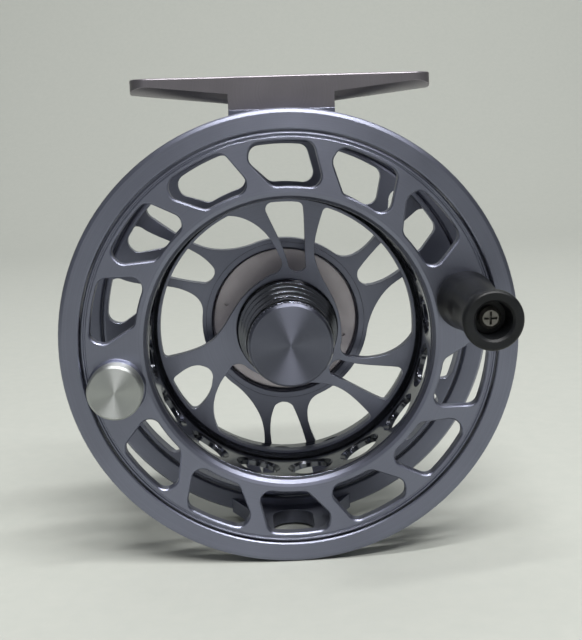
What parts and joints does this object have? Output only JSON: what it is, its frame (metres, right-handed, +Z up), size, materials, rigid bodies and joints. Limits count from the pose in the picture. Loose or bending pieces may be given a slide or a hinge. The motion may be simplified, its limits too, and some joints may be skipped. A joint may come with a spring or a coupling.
{
  "type": "fly reel",
  "caption": "Large-arbor fly reel with a windowed full-cage frame, swept spool web, crank knob, counterweight and rear disc-drag knob on a rod-seat foot.",
  "frame": {"origin": "middle of the foot's seat face, where the foot lies on the rod", "axes": "+Z up out of the foot's seat face, +X along the foot, +Y along the spool axis from the handle side to the drag knob"},
  "size_m": [0.096, 0.0727, 0.1029],
  "materials": {
    "anodised_frame": "satin gunmetal anodised, fine turning marks",
    "anodised_foot": "matte gunmetal anodised",
    "anodised_spool": "satin gunmetal anodised",
    "polished_arbor": "bright-dipped dark anodised",
    "spun_cap": "gunmetal with a spun face",
    "bright_weight": "clear anodised with a spun face",
    "cover_satin": "bead-blasted, clear anodised",
    "handle_black": "matte black",
    "stainless": "turned stainless steel",
    "screw_steel": "machine screw steel",
    "bronze": "plain bearing bronze",
    "carbon_fibre": "woven carbon friction facing",
    "seal_rubber": "nitrile rubber",
    "spring_steel": "spring steel"
  },
  "bodies": {
    "frame": {"front_ring": "anodised_frame", "top_pillar": "anodised_frame", "bottom_pillar": "anodised_frame", "back_plate": "anodised_frame", "reel_foot": "anodised_foot", "foot_screws": "screw_steel", "spindle": "stainless", "spindle_screw": "screw_steel", "spindle_nut": "screw_steel", "drag_housing": "anodised_frame", "housing_screws": "screw_steel", "drag_cover": "cover_satin", "hub_seal": "seal_rubber", "carbon_washers": "carbon_fibre", "pawl_pin": "stainless", "pawl_spring": "spring_steel", "knob_screw": "screw_steel", "detent_ball": "stainless", "detent_spring": "spring_steel"},
    "spool": {"spool_front_flange": "anodised_spool", "spool_back_flange": "anodised_spool", "spool_arbor": "polished_arbor", "spool_web": "anodised_spool", "spool_hub": "polished_arbor", "spool_cap": "spun_cap", "cap_seal": "seal_rubber", "front_bearing": "stainless", "rear_bearing": "stainless", "drive_sleeve": "stainless", "sleeve_screws": "screw_steel", "counterweight": "bright_weight", "counterweight_screw": "screw_steel", "handle_post": "stainless", "handle_washer": "handle_black", "handle_screw": "screw_steel"},
    "handle": {"handle_knob": "handle_black", "handle_bushing": "bronze"},
    "drag_rotor": {"drag_rotor": "stainless", "roller_clutch": "stainless"},
    "pressure_plate": {"pressure_plate": "stainless", "push_pins": "stainless", "thrust_plate": "stainless", "drag_springs": "spring_steel"},
    "drag_knob": {"drag_knob": "spun_cap", "knob_nut": "bronze"},
    "click_pawl": {"click_pawl": "stainless"}
  },
  "joints": [
    {"name": "spool_spin", "type": "hinge", "parent": "frame", "child": "spool", "pos_m": [0, -0.017, -0.0549], "axis": [0, 1, 0], "continuous": true},
    {"name": "handle_spin", "type": "hinge", "parent": "spool", "child": "handle", "pos_m": [0.03632, -0.017, -0.04685], "axis": [0, 1, 0], "continuous": true},
    {"name": "drag_rotor_spin", "type": "hinge", "parent": "frame", "child": "drag_rotor", "pos_m": [0, -0.017, -0.0549], "axis": [0, 1, 0], "continuous": true},
    {"name": "drag_knob_turn", "type": "hinge", "parent": "frame", "child": "drag_knob", "pos_m": [0, -0.017, -0.0549], "axis": [0, -1, 0], "range_deg": [0, 300]},
    {"name": "pressure_plate_slide", "type": "slide", "parent": "frame", "child": "pressure_plate", "axis": [0, -1, 0], "range_m": [0, 0.0003]},
    {"name": "click_pawl_lift", "type": "hinge", "parent": "frame", "child": "click_pawl", "pos_m": [0, -0.017, -0.07015], "axis": [0, 1, 0], "range_deg": [0, 9], "stiffness_Nm_per_rad": 0.002, "springref_deg": -11.46}
  ],
  "couplings": [
    {"joint": "drag_rotor_spin", "follows": "spool_spin", "ratio": 1},
    {"joint": "pressure_plate_slide", "follows": "drag_knob_turn", "m_per_rad": 0.000057296}
  ]
}
